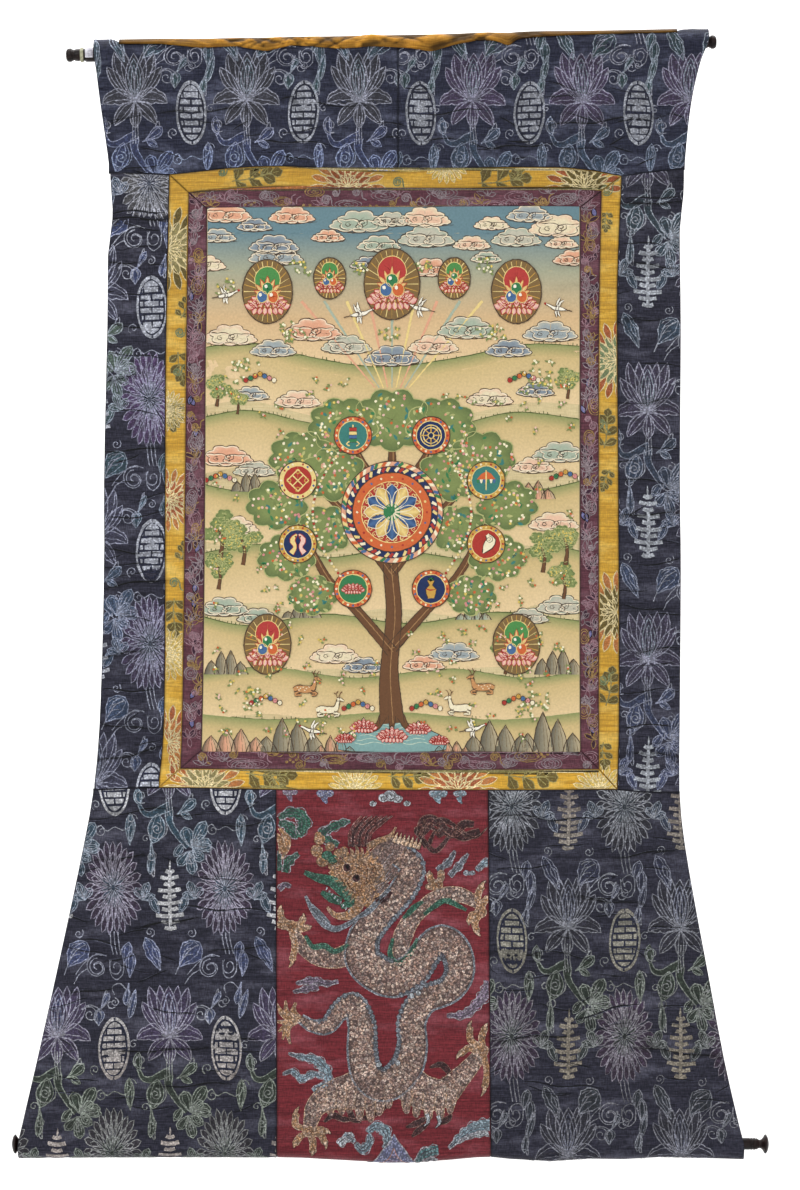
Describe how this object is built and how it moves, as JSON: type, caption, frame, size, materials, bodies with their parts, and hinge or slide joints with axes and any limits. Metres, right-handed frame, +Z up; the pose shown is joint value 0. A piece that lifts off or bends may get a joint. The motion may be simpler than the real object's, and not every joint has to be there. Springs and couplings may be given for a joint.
{
  "type": "hanging scroll painting with its rod and roller",
  "caption": "Painted canvas in mitred silk borders, set in flared panels of figured brocade, on a rod with turned knobs, with a roller in its foot and a silk cover thrown back over the rod.",
  "frame": {"origin": "the middle of the top rod's axis", "axes": "+X to the right of someone facing the picture, +Y away from them, +Z up"},
  "size_m": [0.8031, 0.0372, 1.203],
  "materials": {
    "navy_brocade": "figured weave with silver-grey and dim coloured threads",
    "gold_brocade": "satin ground with woven sprays",
    "maroon_brocade": "satin ground with woven scrolls",
    "red_brocade": "satin ground with metal thread",
    "painted_canvas": "matt paint on sized cotton",
    "gold_silk": "plain silk with a sheen",
    "dark_wood": "dark polish"
  },
  "bodies": {
    "root": {"top_panel_left": "navy_brocade", "top_panel_right": "navy_brocade", "side_panel_left": "navy_brocade", "side_panel_right": "navy_brocade", "bottom_panel_left": "navy_brocade", "bottom_panel_right": "navy_brocade", "door_panel": "red_brocade", "gold_border_top": "gold_brocade", "gold_border_bottom": "gold_brocade", "gold_border_left": "gold_brocade", "gold_border_right": "gold_brocade", "maroon_border_top": "maroon_brocade", "maroon_border_bottom": "maroon_brocade", "maroon_border_left": "maroon_brocade", "maroon_border_right": "maroon_brocade", "picture_canvas": "painted_canvas", "cover_silk": "gold_silk", "top_rod": "dark_wood", "bottom_roller": "dark_wood", "top_knob_left": "dark_wood", "top_knob_right": "dark_wood", "bottom_knob_left": "dark_wood", "bottom_knob_right": "dark_wood"}
  },
  "joints": []
}
